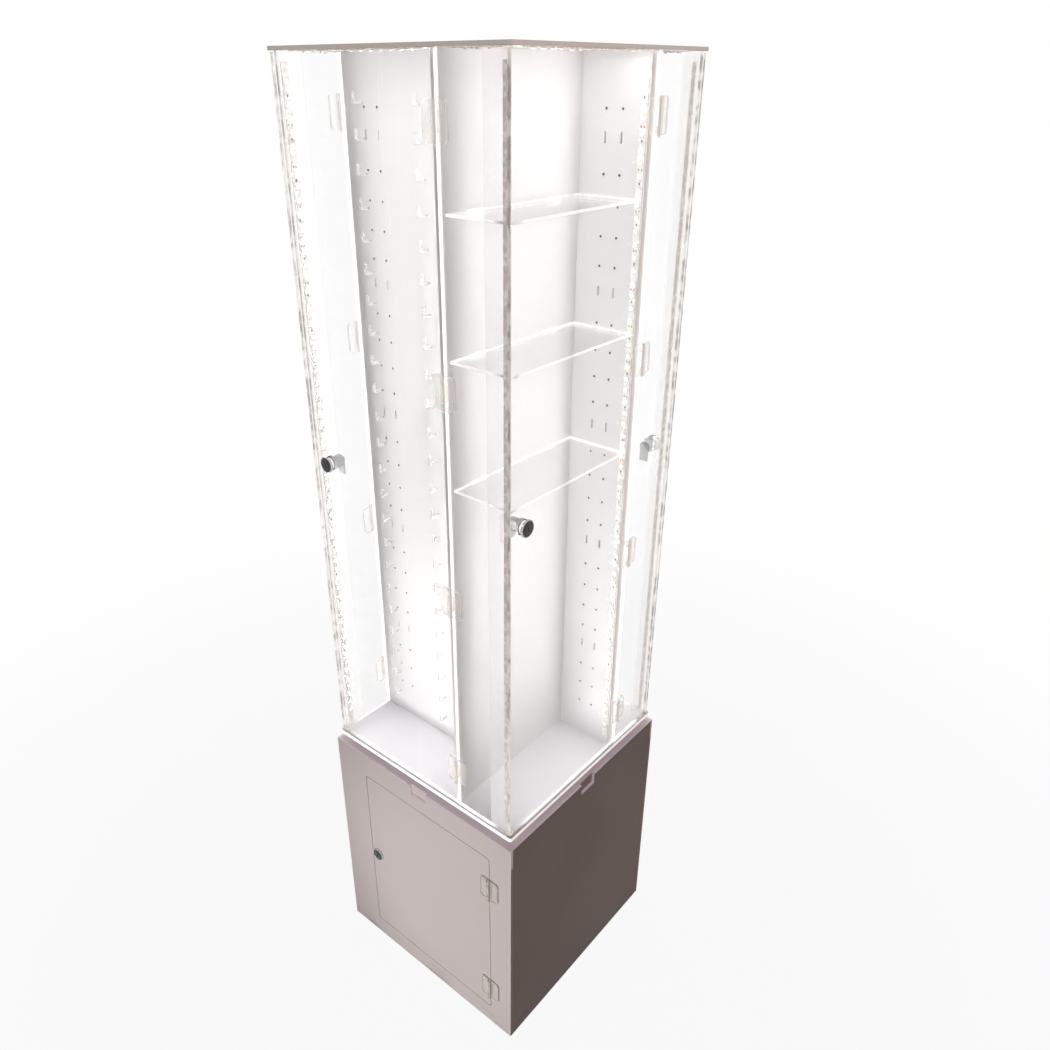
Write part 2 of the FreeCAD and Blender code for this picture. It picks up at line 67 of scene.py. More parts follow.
half_cabinet = cabinet_high.x


class Amount:
    """A number that varies over a surface. A sum written with it adds the Math nodes that work it out."""

    def __init__(self, finish, socket):
        self.finish = finish
        self.socket = socket

    def math(self, operation, *terms):
        return self.finish.add("ShaderNodeMath", {"operation": operation}, dict(enumerate(terms)))

    def __add__(self, other):
        return self.math("ADD", self, other)

    def __radd__(self, other):
        return self.math("ADD", other, self)

    def __sub__(self, other):
        return self.math("SUBTRACT", self, other)

    def __rsub__(self, other):
        return self.math("SUBTRACT", other, self)

    def __mul__(self, other):
        return self.math("MULTIPLY", self, other)

    def __rmul__(self, other):
        return self.math("MULTIPLY", other, self)

    def __pow__(self, other):
        return self.math("POWER", self, other)

    def __abs__(self):
        return self.math("ABSOLUTE", self)

    def __gt__(self, other):
        return self.math("GREATER_THAN", self, other)

    def least(self, other):
        return self.math("MINIMUM", self, other)

    def most(self, other):
        return self.math("MAXIMUM", self, other)

    def off_nearest(self, place, spacing):
        """How far this is from the nearest of the places that repeat at that spacing."""
        return self.math("PINGPONG", self - place, spacing / 2)


class Finish:
    """The nodes of one surface: its shader, and what is added to vary it from place to place."""

    def __init__(self, holder, shader="Principled BSDF"):
        holder.use_nodes = True
        self.holder = holder
        self.tree = holder.node_tree
        self.shader = self.tree.nodes[shader]

    def add(self, kind, settings=None, sockets=None, out=0):
        node = self.tree.nodes.new(kind)
        for name, value in (settings or {}).items():
            setattr(node, name, value)
        self.wire(node, sockets or {})
        return Amount(self, node.outputs[out])

    def wire(self, node, sockets):
        for name, value in sockets.items():
            if isinstance(value, Amount):
                self.tree.links.new(value.socket, node.inputs[name])
            else:
                node.inputs[name].default_value = value

    def place(self, out="Object"):
        return self.add("ShaderNodeTexCoord", out=out)

    def axes(self, vector):
        return [self.add("ShaderNodeSeparateXYZ", None, {0: vector}, out) for out in "XYZ"]

    def facing(self, across):
        """How squarely the surface faces along an axis: 1 or -1 on a sheet's faces, 0 on its edges."""
        return self.axes(self.place("Normal"))["XYZ".index(across)]

    def noise(self, scale, detail=2.0, stretch=(1, 1, 1)):
        drawn = self.add("ShaderNodeMapping", None, {"Vector": self.place(), "Scale": stretch})
        return self.add("ShaderNodeTexNoise", None, {"Vector": drawn, "Scale": scale, "Detail": detail})

    def fade(self, amount, start, end):
        ends = {"Value": amount, "From Min": start, "From Max": end}
        return self.add("ShaderNodeMapRange", {"interpolation_type": "SMOOTHSTEP"}, ends)

    def blend(self, share, first, second):
        return self.add("ShaderNodeMix", {"data_type": "RGBA"}, {0: share, 6: first, 7: second}, 2)

    def bump(self, height, depth):
        raised = self.add("ShaderNodeBump", None, {"Height": height, "Distance": depth, "Strength": 1.0})
        self.wire(self.shader, {"Normal": raised})

    def shine(self, **sockets):
        self.wire(self.shader, {name.replace("_", " "): value for name, value in sockets.items()})

    def glow(self, share, colour):
        """Light that the surface gives off by itself: a share of a colour."""
        self.shine(Emission_Color=self.blend(share, (0, 0, 0, 1), colour), Emission_Strength=1.0)

    def so_far(self, socket):
        """What feeds a socket of the shader already."""
        return Amount(self, self.shader.inputs[socket].links[0].from_socket)

    def own(self):
        """The surface's own shader, to mix with another."""
        return Amount(self, self.shader.outputs[0])

    def show(self, share, first, second):
        """Shows a mix of two shaders, with that share of the second."""
        mixed = self.add("ShaderNodeMixShader", None, {0: share, 1: first, 2: second})
        self.wire(self.tree.nodes["Material Output"], {"Surface": mixed})


def tone(colour):
    """A colour as the eye sees it, 0 to 255, as the linear colour that a shader takes."""
    return (*Color([part / 255 for part in colour]).from_srgb_to_scene_linear(), 1.0)


def darker(colour, step):
    """A colour that is one step darker in all three parts."""
    return [part - step for part in colour]


def dress(finish, *names):
    """Gives CAD nodes a finish in place of the plain colour that they came with."""
    for name in names:
        nodes[name].data.materials.clear()
        nodes[name].data.materials.append(finish.holder)


def faced_board(name, across):
    """Faced board, mottled and scuffed. across is the axis through its thickness. Its cut edges are lighter:
    partly the core, partly a painted highlight. Near the top they also glow with painted light of the case."""
    finish = Finish(bpy.data.materials.new(name))
    x, y, z = finish.axes(finish.place())
    drift = finish.noise(cloud_scale)
    grain = finish.noise(grain_scale, 3.0)
    drag = finish.noise(drag_scale, 3.0, drag_stretch)
    mottled = finish.blend(0.55 * drift + 0.35 * grain, tone(board_white), tone(board_shade))
    reach = abs(x).most(abs(y))
    outside = finish.fade(reach, half_cabinet - scuff_depth, half_cabinet - scuff_full)
    foot = finish.fade(z, cabinet_low.z + scuff_height, cabinet_low.z) * outside
    scuffed = finish.blend(finish.fade(drag, 0.52, 0.7) * foot * 0.7, mottled, tone(board_scuff))
    corner = finish.fade(abs(x).least(abs(y)), half_cabinet - worn_corner, half_cabinet)
    cut = finish.fade(abs(finish.facing(across)), 0.7, 0.3)
    light = cut.most(corner * finish.fade(drag, 0.3, 0.6) * 0.6)
    outer = finish.fade(reach, half_cabinet - edge_depth, half_cabinet - edge_depth / 2)
    notch_foot = cabinet_high.z - notch_reach
    upper = finish.fade(z, notch_foot - notch_fade, notch_foot)
    # Cut edges take a lighter tone, partly the board's core and partly a painted highlight.
    finish.shine(Base_Color=finish.blend(light, scuffed, tone(board_core_and_highlight)))
    finish.shine(Roughness=board_rough + 0.16 * drift + 0.08 * grain, Specular_IOR_Level=board_gloss)
    # Painted light: cut edges near the cabinet's top glow, though the board is no lamp.
    finish.glow(cut * outer * upper, tone(painted_rim_light))
    finish.bump(grain + 0.6 * drag, grain_depth)
    return finish


dress(faced_board("board_y", "Y"), "front_skin", "back_skin", "carcass_front", "carcass_back")
dress(faced_board("board_x", "X"), "left_skin", "right_skin", "carcass_left", "carcass_right")
dress(faced_board("board_z", "Z"), "bottom_board")

top_board = faced_board("top_board", "Z")
x, y = top_board.axes(top_board.place())[:2]
# Painted light: a mottled glow on the top board's rim, where the base plate's light falls on it.
painted_light_band = top_board.fade(abs(x).most(abs(y)), half_cabinet - rim_reach, half_cabinet - rim_reach / 2)
painted_light_mottle = 0.75 + 0.25 * top_board.noise(rim_scale)
top_board.glow(painted_light_band * painted_light_mottle, tone(painted_rim_light))
dress(top_board, "top_board")


# Cabinet door
# The door is a piece of the same board, let into the front skin with a thin gap all round. Fingers have
# rubbed it smoother and a little darker round the lock, where it is pulled open.
rub_colour = (190, 180, 175)
rub_reach = 55 * mm
rub_scale = 35.0
rub_polish = 0.18
lock_low, lock_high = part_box("cabinet_lock_body")
pull_point = (lock_low + lock_high) / 2

door_board = faced_board("door_board", "Y")
from_lock = door_board.add("ShaderNodeVectorMath", {"operation": "DISTANCE"},
                           {0: door_board.place(), 1: pull_point}, "Value")
rubbed = door_board.fade(from_lock, rub_reach, 0.0) * door_board.noise(rub_scale, 3.0)
door_colour = door_board.blend(rubbed * 0.5, door_board.so_far("Base Color"), tone(rub_colour))
door_board.shine(Base_Color=door_colour, Roughness=door_board.so_far("Roughness") - rub_polish * rubbed)
dress(door_board, "cabinet_door")


# Turntable
# Two pressed steel plates run on a ring of balls in a plastic cage, screwed to the cabinet's top board and
# to the case's base plate. The steel is zinc plated, with the faint bloom and rub marks of plating.
zinc_light = (203, 204, 203)
zinc_dark = (160, 163, 165)
zinc_rough = 0.22
ball_rough = 0.05
bloom_scale = 45.0
rub_mark_scale = 700.0
rub_mark_stretch = (1, 0.08, 1)
rub_mark_depth = 0.01 * mm
cage_grey = (70, 72, 74)
cage_dark = (52, 54, 56)
cage_rough = 0.42
cage_speckle = 900.0
cage_speckle_depth = 0.02 * mm


def plated_steel(name, light, dark, rough):
    """Bare plated metal with a cloudy bloom and fine rub marks."""
    finish = Finish(bpy.data.materials.new(name))
    bloom = finish.noise(bloom_scale, 4.0)
    rubs = finish.noise(rub_mark_scale, 2.0, rub_mark_stretch)
    finish.shine(Base_Color=finish.blend(bloom, tone(light), tone(dark)), Metallic=1.0)
    finish.shine(Roughness=rough + 0.14 * bloom + 0.08 * rubs)
    finish.bump(rubs, rub_mark_depth)
    return finish


def speckled(name, light, dark, scale, rough, depth=0.0):
    """Plastic or ceramic with a fine speckle of two tones, which stands out where it has a depth."""
    finish = Finish(bpy.data.materials.new(name))
    speckle = finish.noise(scale)
    finish.shine(Base_Color=finish.blend(speckle, tone(light), tone(dark)), Roughness=rough + 0.2 * speckle)
    if depth:
        finish.bump(speckle, depth)
    return finish


zinc = plated_steel("zinc_plated_steel", zinc_light, zinc_dark, zinc_rough)
dress(zinc, "turntable_lower_plate", "turntable_upper_plate")
dress(zinc, "turntable_lower_screws", "turntable_upper_screws")
dress(plated_steel("ball_steel", zinc_light, zinc_dark, ball_rough), "balls")
cage_plastic = speckled("cage_plastic", cage_grey, cage_dark, cage_speckle, cage_rough, cage_speckle_depth)
dress(cage_plastic, "ball_cage")


# Case plates and inner walls
# Base plate, top plate and the four inner walls are white cast acrylic: glossy, faintly wavy, wiped often.
# Their matt sawn edges have a painted glow for the light of the tapes. Peg holes are painted dark inside as
# shade, and keyhole slots pale.
wall_white = (241, 240, 240)
deck_white = (243, 242, 246)
wall_edge = (232, 226, 223)
base_edge = (246, 243, 242)
# The top plate's sawn edge is painted a darker brown-grey as shade.
roof_edge_painted_shade = (214, 200, 192)
wiped_step = 7
sawn_step = 26
base_glow = 0.75
roof_glow = 0.5
wall_glow = 0.2
acrylic_ior = 1.49
wiped_scale = 9.0
wiped_stretch = (1, 1, 0.35)
saw_scale = 260.0
saw_stretch = (1, 1, 0.3)
wave_depth = 0.06 * mm
rim_start = 165 * mm
rim_end = 175 * mm
# Peg holes are painted dark grey inside as shade; keyhole slots keep the pale acrylic tone.
peg_hole_painted_shade = (92, 86, 84)
slot_pale = (226, 219, 217)
peg_pitch = 39.1 * mm
first_peg_drop = 64.5 * mm
slot_length = 12.0 * mm
slot_spacing = 5 * peg_pitch
wall_low, wall_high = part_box("display_wall_front")
first_slot = wall_high.z - first_peg_drop - peg_pitch + slot_length / 2


def white_sheet(name, across, white, edge, glow):
    """White acrylic sheet. across is the axis through its thickness. Its sawn edges have a tone of their own
    and a painted glow for the light that runs inside the sheet; what is cut further in doesn't glow, and its
    peg holes are painted dark as shade."""
    finish = Finish(bpy.data.materials.new(name))
    x, y, z = finish.axes(finish.place())
    sawn = finish.fade(abs(finish.facing(across)), 0.6, 0.3)
    outer = finish.fade(abs(x).most(abs(y)), rim_start, rim_end)
    saw_marks = finish.noise(saw_scale, 3.0, saw_stretch)
    wiped = finish.noise(wiped_scale, 4.0, wiped_stretch)
    face = finish.blend(wiped, tone(white), tone(darker(white, wiped_step)))
    slot = finish.fade(z.off_nearest(first_slot, slot_spacing), slot_length * 0.8, slot_length * 0.7)
    inside = finish.blend(slot, tone(peg_hole_painted_shade), tone(slot_pale))
    rim = finish.blend(saw_marks * 0.6, tone(edge), tone(darker(edge, sawn_step)))
    cut = finish.blend(outer, inside, rim)
    finish.shine(Base_Color=finish.blend(sawn, face, cut), IOR=acrylic_ior)
    finish.shine(Roughness=0.03 + 0.06 * wiped + sawn * (0.25 + 0.2 * saw_marks))
    # Painted light: the outer sawn edges glow, though the sheet is no lamp.
    finish.glow(sawn * outer * glow, cut)
    finish.bump(wiped + sawn * saw_marks * 0.3, wave_depth)
    return finish


dress(white_sheet("base_acrylic", "Z", deck_white, base_edge, base_glow), "base_plate")
# The top plate's edge tone is painted shade.
dress(white_sheet("roof_acrylic", "Z", wall_white, roof_edge_painted_shade, roof_glow), "top_plate")
wall_acrylic_y = white_sheet("wall_acrylic_y", "Y", wall_white, wall_edge, wall_glow)
wall_acrylic_x = white_sheet("wall_acrylic_x", "X", wall_white, wall_edge, wall_glow)
dress(wall_acrylic_y, "display_wall_front", "display_wall_back")
dress(wall_acrylic_x, "display_wall_right", "display_wall_left")


# Clear panes, doors and shelves
# All are clear acrylic sheet with polished or sawn edges. The faces only mirror a little and carry a film of
# dust; the edges gather light and show as pale, streaky bands. White cement holds the shelves in the walls.
face_clear = (250, 251, 251)
edge_pale = (226, 220, 214)
edge_deep = (158, 149, 142)
edge_lit = (255, 253, 250)
pane_glow = 0.8
shelf_glow = 0.85
corner_glow = 0.6
corner_start = 150 * mm
corner_end = 175 * mm
streak_scale = 110.0
streak_stretch = (1, 1, 0.6)
smear_scale = 7.0
dust_film = 0.012
mirror_least = 0.04
cement_lap = 0.3 * mm
wall_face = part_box("display_wall_right")[1].x


def clear_sheet(name, across, inner_glow, wall=0.0):
    """Clear acrylic sheet. across is the axis through its thickness, where the faces lie; the rest is edge.
    Edges at the case's corners are grey and mottled, and those further in glow by inner_glow. Nearer to the
    middle than wall, the sheet is let into a wall, and white cement covers it."""
    finish = Finish(bpy.data.materials.new(name))
    x, y = finish.axes(finish.place())[:2]
    cemented = finish.fade(abs(x), wall + cement_lap, wall)
    edge = finish.fade(abs(finish.facing(across)), 0.8, 0.5).most(cemented)
    at_corner = finish.fade(abs(x).least(abs(y)), corner_start, corner_end)
    streaks = finish.fade(finish.noise(streak_scale, 4.0, streak_stretch), 0.38, 0.62)
    smears = finish.noise(smear_scale, 4.0)
    turned = finish.add("ShaderNodeLayerWeight", None, {"Blend": 0.5}, "Facing")
    mirror = mirror_least + (1 - mirror_least) * turned ** 5
    lit_rim = finish.blend(at_corner, tone(edge_lit), tone(edge_pale))
    rim = finish.blend(streaks * (0.1 + 0.9 * at_corner), lit_rim, tone(edge_deep))
    finish.shine(Base_Color=finish.blend(edge, tone(face_clear), rim), Metallic=1.0 - edge)
    finish.shine(Roughness=0.015 + 0.05 * smears + 0.2 * edge)
    finish.glow(edge * (inner_glow - (inner_glow - corner_glow) * at_corner), rim)
    cover = (mirror + dust_film * smears) * (1.0 - edge) + edge * (0.65 + 0.3 * streaks)
    finish.show(cover.least(1.0), finish.add("ShaderNodeBsdfTransparent"), finish.own())
    return finish


sides = ("front", "right", "back", "left")
clear_y = clear_sheet("clear_acrylic_y", "Y", pane_glow)
clear_x = clear_sheet("clear_acrylic_x", "X", pane_glow)
for side in sides:
    dress(clear_y if side in ("front", "back") else clear_x, "fixed_pane_" + side, "glass_door_" + side)
dress(clear_sheet("shelf_acrylic", "Z", shelf_glow, wall_face), "shelves_right", "shelves_left")


# Corner strips and lock keepers
# A clear strip stiffens each corner behind the fixed pane and carries a light tape; a painted glow over the
# whole strip stands for its light. A small clear block behind each lock, cemented to the strip, catches the
# lock's cam, and has the same painted glow.
strip_light = (240, 239, 236)
strip_dark = (222, 219, 214)
flow_scale = 240.0
flow_depth = 0.05 * mm
clear_rough = 0.05
line_cover = 0.45


def clear_block(name, light, dark, cover, glow, rough=clear_rough, line=None):
    """Small clear mouldings and blocks: see-through in the middle, brighter where the surface turns away.
    Where a line colour is given, the sides of the rims and pockets show as lines of it."""
    finish = Finish(bpy.data.materials.new(name))
    flow = finish.noise(flow_scale, 3.0)
    turned = finish.add("ShaderNodeLayerWeight", None, {"Blend": 0.5}, "Facing")
    body = finish.blend(flow, tone(light), tone(dark))
    if line:
        x, y = finish.axes(finish.place())[:2]
        at_side = abs(x) > abs(y)
        squarely = abs(finish.facing("X")) * at_side + abs(finish.facing("Y")) * (1.0 - at_side)
        lined = finish.fade(squarely, 0.9, 0.6)
        body = finish.blend(lined, body, tone(line))
        cover = cover + line_cover * lined
    finish.shine(Base_Color=body, Roughness=rough + 0.12 * flow, IOR=acrylic_ior)
    # Painted light: glow is a share of the body colour given off over the whole part, though it is no lamp.
    finish.glow(glow, body)
    finish.bump(flow, flow_depth)
    solid_share = (cover + 0.6 * turned ** 3.0 + 0.1 * flow).least(1.0)
    finish.show(solid_share, finish.add("ShaderNodeBsdfTransparent"), finish.own())
    return finish


strip_acrylic = clear_block("strip_acrylic", strip_light, strip_dark, cover=0.05, glow=0.6)
dress(strip_acrylic, "corner_strips", "lock_keepers")


# Hinges
# The hinges are moulded clear plastic leaves with raised rims and pockets, riveted through and faintly
# yellowed. Each turns on a thin plated pin that stands a little out of the knuckles.
hinge_light = (241, 239, 234)
hinge_dark = (216, 211, 202)
cabinet_hinge_line = (186, 178, 164)
case_hinge_line = (196, 188, 182)
pin_light = (232, 232, 230)
pin_dark = (204, 205, 205)
pin_rough = 0.3

# The leaves carry a painted glow, faint on the cabinet and strong on the case, brightening them like the lit
# walls.
cabinet_hinge = clear_block("cabinet_hinge_plastic", hinge_light, hinge_dark, cover=0.2, glow=0.15,
                            line=cabinet_hinge_line)
dress(cabinet_hinge, "cabinet_hinge_frame_leaves", "cabinet_hinge_door_leaves")
case_hinge = clear_block("case_hinge_plastic", hinge_light, hinge_dark, cover=0.03, glow=0.6,
                         line=case_hinge_line)
dress(case_hinge, "pane_hinge_leaves", *("door_hinge_leaves_" + side for side in sides))
dress(plated_steel("pin_steel", pin_light, pin_dark, pin_rough), "pane_hinge_pins", "cabinet_hinge_pins")


# Cam locks
# Each lock is a chrome plated die-cast barrel with a flange and a nut, and a plug that turns in it. Flange
# and plug are enamelled black in front, inside a chrome rim; the plug's cam and screw are bare zinc.
chrome_light = (214, 214, 217)
chrome_dark = (146, 147, 152)
chrome_rough = 0.04
plug_rough = 0.2
enamel_black = (20, 20, 23)
enamel_wear = (66, 66, 70)
enamel_scale = 420.0
enamel_depth = 3.0 * mm
enamel_border = 0.2 * mm
chrome_rim = 1.3 * mm


def enamel(finish, share):
    """Covers a share of a plated surface with black enamel, rubbed thin in places."""
    rubs = finish.noise(enamel_scale, 3.0)
    coat = finish.blend(finish.fade(rubs, 0.6, 0.8), tone(enamel_black), tone(enamel_wear))
    finish.shine(Base_Color=finish.blend(share, finish.so_far("Base Color"), coat), Metallic=1.0 - share)


def dress_lock(body, plug, across, sign):
    """Finishes one lock, whose front looks along sign times the axis across."""
    index = "XYZ".index(across)
    low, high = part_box(body)
    flange = plated_steel("chrome_" + body, chrome_light, chrome_dark, chrome_rough)
    from_middle = flange.add("ShaderNodeVectorMath", {"operation": "SUBTRACT"},
                             {0: flange.place(), 1: (low + high) / 2})
    sideways, upwards = (part for place, part in enumerate(flange.axes(from_middle)) if place != index)
    radius = (sideways * sideways + upwards * upwards) ** 0.5
    enamel_edge = (high.z - low.z) / 2 - chrome_rim
    ahead = flange.fade(flange.facing(across) * sign, 0.7, 0.9)
    enamel(flange, ahead * flange.fade(radius, enamel_edge, enamel_edge - enamel_border))
    dress(flange, body)
    low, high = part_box(plug)
    front = (high if sign > 0 else low)[index]
    core = plated_steel("zinc_" + plug, zinc_light, zinc_dark, plug_rough)
    behind = abs(core.axes(core.place())[index] - front)
    enamel(core, core.fade(behind, enamel_depth, enamel_depth * 0.8))
    dress(core, plug)


dress_lock("cabinet_lock_body", "cabinet_lock_core", "Y", -1)
for side, across, sign in zip(sides, "YXYX", (-1, 1, 1, -1)):
    dress_lock("lock_body_" + side, "lock_core_" + side, across, sign)


# Hooks
# Clear plastic J hooks stand in two columns on the front wall, pushed into its holes. They are thin, so
# they read mostly as bright rims against the white, and a painted glow brightens them all over.
hook_light = (240, 239, 237)
hook_dark = (214, 211, 207)
hook_rough = 0.06
dress(clear_block("hook_plastic", hook_light, hook_dark, cover=0.25, glow=0.3, rough=hook_rough), "hooks")


# Light tapes
# Flexible white circuit tape stuck along the corners, the walls and under the roof, with square chips, a
# resistor and a pair of copper pads in each short length. Its glued back shows beige from outside.
tape_white = (236, 236, 233)
tape_track = (214, 209, 198)
tape_back = (164, 153, 144)
tape_back_light = (204, 196, 188)
tape_glow = 0.2
back_glow = 0.55
track_scale = 95.0
track_stretch = (1, 1, 3.0)
crumple_scale = 130.0
crumple_depth = 0.04 * mm
outward_least = 50 * mm
glint_size = 1.3 * mm
tape_width = 10.0 * mm
tape_thickness = 1.2 * mm
chips_in_length = 3
tape_step = 50.0 * mm
chip_pitch = tape_step / chips_in_length
corner_low, corner_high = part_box("corner_light_strips")
tape_outer = corner_high.x
upright_room = corner_high.z - corner_low.z
first_chip = corner_low.z + (upright_room % tape_step + chip_pitch) / 2

tape = Finish(bpy.data.materials.new("light_tape"))
along_x, along_y, height = tape.axes(tape.place())
outward = tape.add("ShaderNodeVectorMath", {"operation": "DOT_PRODUCT"},
                   {0: tape.place("Normal"), 1: tape.place()}, "Value")
glued = (outward > outward_least) * tape.fade(abs(tape.facing("Z")), 0.6, 0.4)
tracks = tape.fade(tape.noise(track_scale, 1.0, track_stretch), 0.48, 0.56)
crumpled = tape.fade(tape.noise(crumple_scale, 4.0), 0.42, 0.66)
top_side = tape.blend(tracks * 0.6, tone(tape_white), tone(tape_track))
under_side = tape.blend(crumpled, tone(tape_back), tone(tape_back_light))
shown_side = tape.blend(glued, top_side, under_side)
tape.shine(Base_Color=shown_side, Roughness=0.35 + 0.25 * crumpled)
tape.bump(tracks + crumpled, crumple_depth)
# Painted glints: bright dots on the tape's outer edge beside each chip stand for the chips' light glinting
# there.
to_corner = abs(along_x).least(abs(along_y))
outer_edge = tape.fade(to_corner, tape_outer - glint_size, tape_outer - glint_size / 2)
off_chip = height.off_nearest(first_chip, chip_pitch)
painted_glint = glued * outer_edge * tape.fade(off_chip, glint_size, glint_size / 2)
# Painted light: the tape glows faintly and its glued back more strongly, though neither is a lamp.
tape.glow((1.0 - glued) * tape_glow + glued * back_glow, shown_side)
tape.shine(Emission_Color=tape.blend(painted_glint, tape.so_far("Emission Color"), tone(edge_lit)))
dress(tape, "corner_light_strips", "wall_light_strips", "top_light_strips")

chip_side = 4.8 * mm
chip_height = 1.5 * mm
chip_corner = 0.5 * mm
chip_rim = 0.55 * mm
chip_light = (243, 242, 238)
chip_dark = (226, 224, 216)
chip_rough = 0.35
chip_speckle = 600.0
lens_recess = 0.25 * mm
lens_tint = (250, 240, 200)
lens_warm = (255, 250, 240)
lens_cool = (250, 252, 255)
lens_strength = 8.0
lens_scale = 55.0
resistor_size = (2.2 * mm, 1.5 * mm, 0.55 * mm)
resistor_cap = 0.5 * mm
resistor_black = (38, 37, 36)
resistor_grey = (64, 62, 60)
resistor_rough = 0.4
resistor_speckle = 800.0
pad_size = (2.4 * mm, 1.8 * mm, 0.08 * mm)
pad_corner = 0.4 * mm
pad_spacing = 4.4 * mm
copper_light = (214, 150, 96)
copper_dark = (186, 118, 70)
copper_rough = 0.25


def pick(piece, kind, wanted):
    """Selects only the faces or edges of a mesh that wanted() accepts, for the next edit."""
    bpy.context.tool_settings.mesh_select_mode = (False, kind == "edges", kind == "faces")
    for group in (piece.data.vertices, piece.data.edges, piece.data.polygons):
        group.foreach_set("select", [False] * len(group))
    for part in piece.data.polygons if kind == "faces" else piece.data.edges:
        part.select = wanted(part)
    bpy.ops.object.mode_set(mode="EDIT")


def block(name, size, finishes):
    """A block of that size lying on the tape at the origin, with its finishes in its material slots."""
    bpy.ops.object.select_all(action="DESELECT")
    bpy.ops.mesh.primitive_cube_add(size=1, scale=size, location=(0, 0, size[2] / 2))
    piece = bpy.context.object
    piece.name = name
    bpy.ops.object.transform_apply(location=True, rotation=True, scale=True)
    for finish in finishes:
        piece.data.materials.append(finish.holder)
    return piece


def round_uprights(piece, radius):
    """Cuts the block's four upright edges off."""
    ends = piece.data.vertices

    def upright(edge):
        first, second = (ends[index].co for index in edge.vertices)
        return abs(first.z - second.z) > abs(first.x - second.x) + abs(first.y - second.y)

    pick(piece, "edges", upright)
    bpy.ops.mesh.bevel(offset=radius, segments=1)
    bpy.ops.object.mode_set(mode="OBJECT")


chip_body = speckled("chip_body", chip_light, chip_dark, chip_speckle, chip_rough)
chip_lens = Finish(bpy.data.materials.new("chip_lens"))
lens_shade = chip_lens.noise(lens_scale, 1.0)
chip_lens.shine(Base_Color=tone(lens_tint), Roughness=0.2 + 0.1 * lens_shade)
chip_lens.shine(Emission_Color=chip_lens.blend(lens_shade, tone(lens_warm), tone(lens_cool)))
chip_lens.shine(Emission_Strength=lens_strength)
chip_lens.holder.cycles.emission_sampling = "NONE"
resistor_body = speckled("resistor_body", resistor_black, resistor_grey, resistor_speckle, resistor_rough)
pad_copper = plated_steel("pad_copper", copper_light, copper_dark, copper_rough)

chip = block("chip", (chip_side, chip_side, chip_height), [chip_body, chip_lens])
round_uprights(chip, chip_corner)
pick(chip, "faces", lambda face: face.normal.z > 0.9)
bpy.ops.mesh.inset(thickness=chip_rim)
bpy.ops.mesh.extrude_region_move(TRANSFORM_OT_translate={"value": (0, 0, -lens_recess)})
bpy.ops.object.mode_set(mode="OBJECT")
for face in chip.data.polygons:
    if face.normal.z > 0.9 and face.center.z < chip_height - lens_recess / 2:
        face.material_index = 1

resistor = block("resistor", resistor_size, [resistor_body, zinc])
for way in (-1, 1):
    pick(resistor, "faces", lambda face: face.normal.x * way > 0.9)
    bpy.ops.mesh.extrude_region_move(TRANSFORM_OT_translate={"value": (way * resistor_cap, 0, 0)})
    bpy.ops.object.mode_set(mode="OBJECT")
for face in resistor.data.polygons:
    face.material_index = int(abs(face.center.x) > resistor_size[0] / 2)

pad = block("pad", pad_size, [pad_copper])
round_uprights(pad, pad_corner)


def copy_at(piece, offset):
    """A copy of a piece with its own mesh, moved along and across the tape."""
    made = piece.copy()
    made.data = piece.data.copy()
    made.data.transform(Matrix.Translation(offset))
    bpy.context.collection.objects.link(made)
    return made


tape_length = [copy_at(chip, ((index + 0.5) * chip_pitch, 0, 0)) for index in range(chips_in_length)]
tape_length.append(copy_at(resistor, (2 * chip_pitch, 0, 0)))
tape_length += [copy_at(pad, (0, way * pad_spacing / 2, 0)) for way in (-1, 1)]
bpy.ops.object.select_all(action="DESELECT")
for part in tape_length:
    part.select_set(True)
bpy.context.view_layer.objects.active = tape_length[0]
bpy.ops.object.join()
tape_pattern = tape_length[0]


def lay_tape(name, room, matrix):
    """Repeats the tape's pattern along the room that there is, and seats it on its tape."""
    count = int(room / tape_step)
    run = copy_at(tape_pattern, ((room - count * tape_step) / 2, 0, 0))
    run.name = name
    row = run.modifiers.new("row", "ARRAY")
    row.use_relative_offset = False
    row.use_constant_offset = True
    row.constant_offset_displace = (tape_step, 0, 0)
    row.count = count
    bpy.context.view_layer.objects.active = run
    bpy.ops.object.modifier_apply(modifier="row")
    run.data.transform(matrix)
    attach(run, "case")


def seat(start, along, facing):
    """The place of a tape's top side: where it starts, which way it runs and which way it faces."""
    along, facing = Vector(along), Vector(facing)
    turn = Matrix((along, facing.cross(along), facing)).transposed().to_4x4()
    return Matrix.Translation(start) @ turn


tape_end_gap = 12.0 * mm
tape_edge_gap = 2.0 * mm
strip_thickness = 3.0 * mm
tape_middle = tape_outer - tape_width / 2
roof_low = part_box("top_light_strips")[0]
roof_run_low = wall_low.x + tape_end_gap + tape_width
roof_run_high = wall_high.x - tape_end_gap
roof_end_low = tape_width + tape_edge_gap - tape_outer
roof_end_high = wall_low.y - tape_end_gap
roof_end_middle = wall_low.x + tape_edge_gap + strip_thickness + tape_width / 2
tape_runs = (
    ("corner_lights_", upright_room,
     seat((tape_middle, tape_thickness - tape_outer, corner_low.z), (0, 0, 1), (0, 1, 0))),
    ("wall_lights_", upright_room,
     seat((wall_high.x - tape_thickness, -tape_middle, corner_low.z), (0, 0, 1), (-1, 0, 0))),
    ("roof_lights_", roof_run_high - roof_run_low,
     seat((roof_run_low, -tape_middle, roof_low.z), (1, 0, 0), (0, 0, -1))),
    ("roof_end_lights_", roof_end_high - roof_end_low,
     seat((roof_end_middle, roof_end_low, roof_low.z), (0, 1, 0), (0, 0, -1))),
)
quarter_turns = [(side, Matrix.Rotation(quarter * math.pi / 2, 4, "Z")) for quarter, side in enumerate(sides)]
